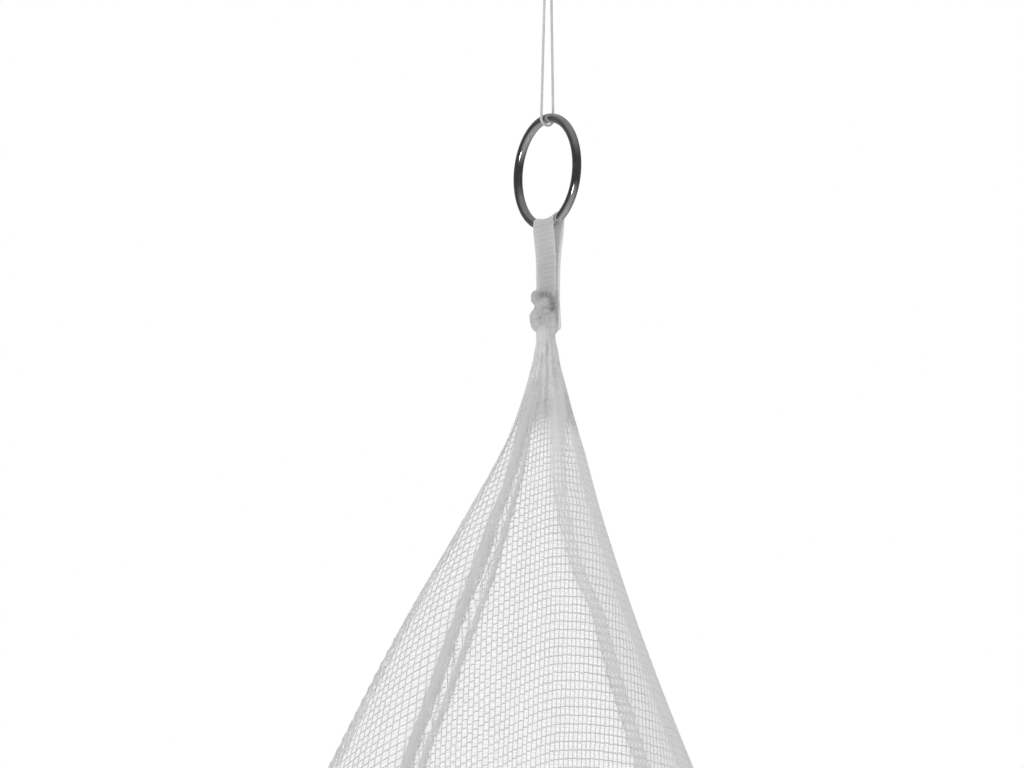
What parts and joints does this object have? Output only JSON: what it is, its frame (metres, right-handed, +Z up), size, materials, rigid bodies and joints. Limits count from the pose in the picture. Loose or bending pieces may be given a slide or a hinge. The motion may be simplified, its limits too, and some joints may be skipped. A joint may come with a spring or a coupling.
{
  "type": "mosquito net canopy",
  "caption": "Hanging mosquito net canopy: mesh cloth gathered into a knot under a tape tab and steel ring, on a thin doubled cord with an eye.",
  "frame": {"origin": "where a ceiling hook bears inside the cord's eye, at the top of the object", "axes": "+Z up, -Y towards the viewer of the picture, +X to the viewer's right"},
  "size_m": [1.3829, 1.4105, 2.3404],
  "materials": {
    "cord": "thin twisted polyester cord",
    "plated_steel": "bright plated steel wire",
    "ribbed_tape": "narrow ribbed woven tape",
    "net_cloth": "open warp-knitted polyester mesh"
  },
  "bodies": {
    "root": {"hanging_eye": "cord", "cord_knot": "cord", "cord_loop": "cord", "ring": "plated_steel", "tab": "ribbed_tape", "net": "net_cloth"}
  },
  "joints": []
}
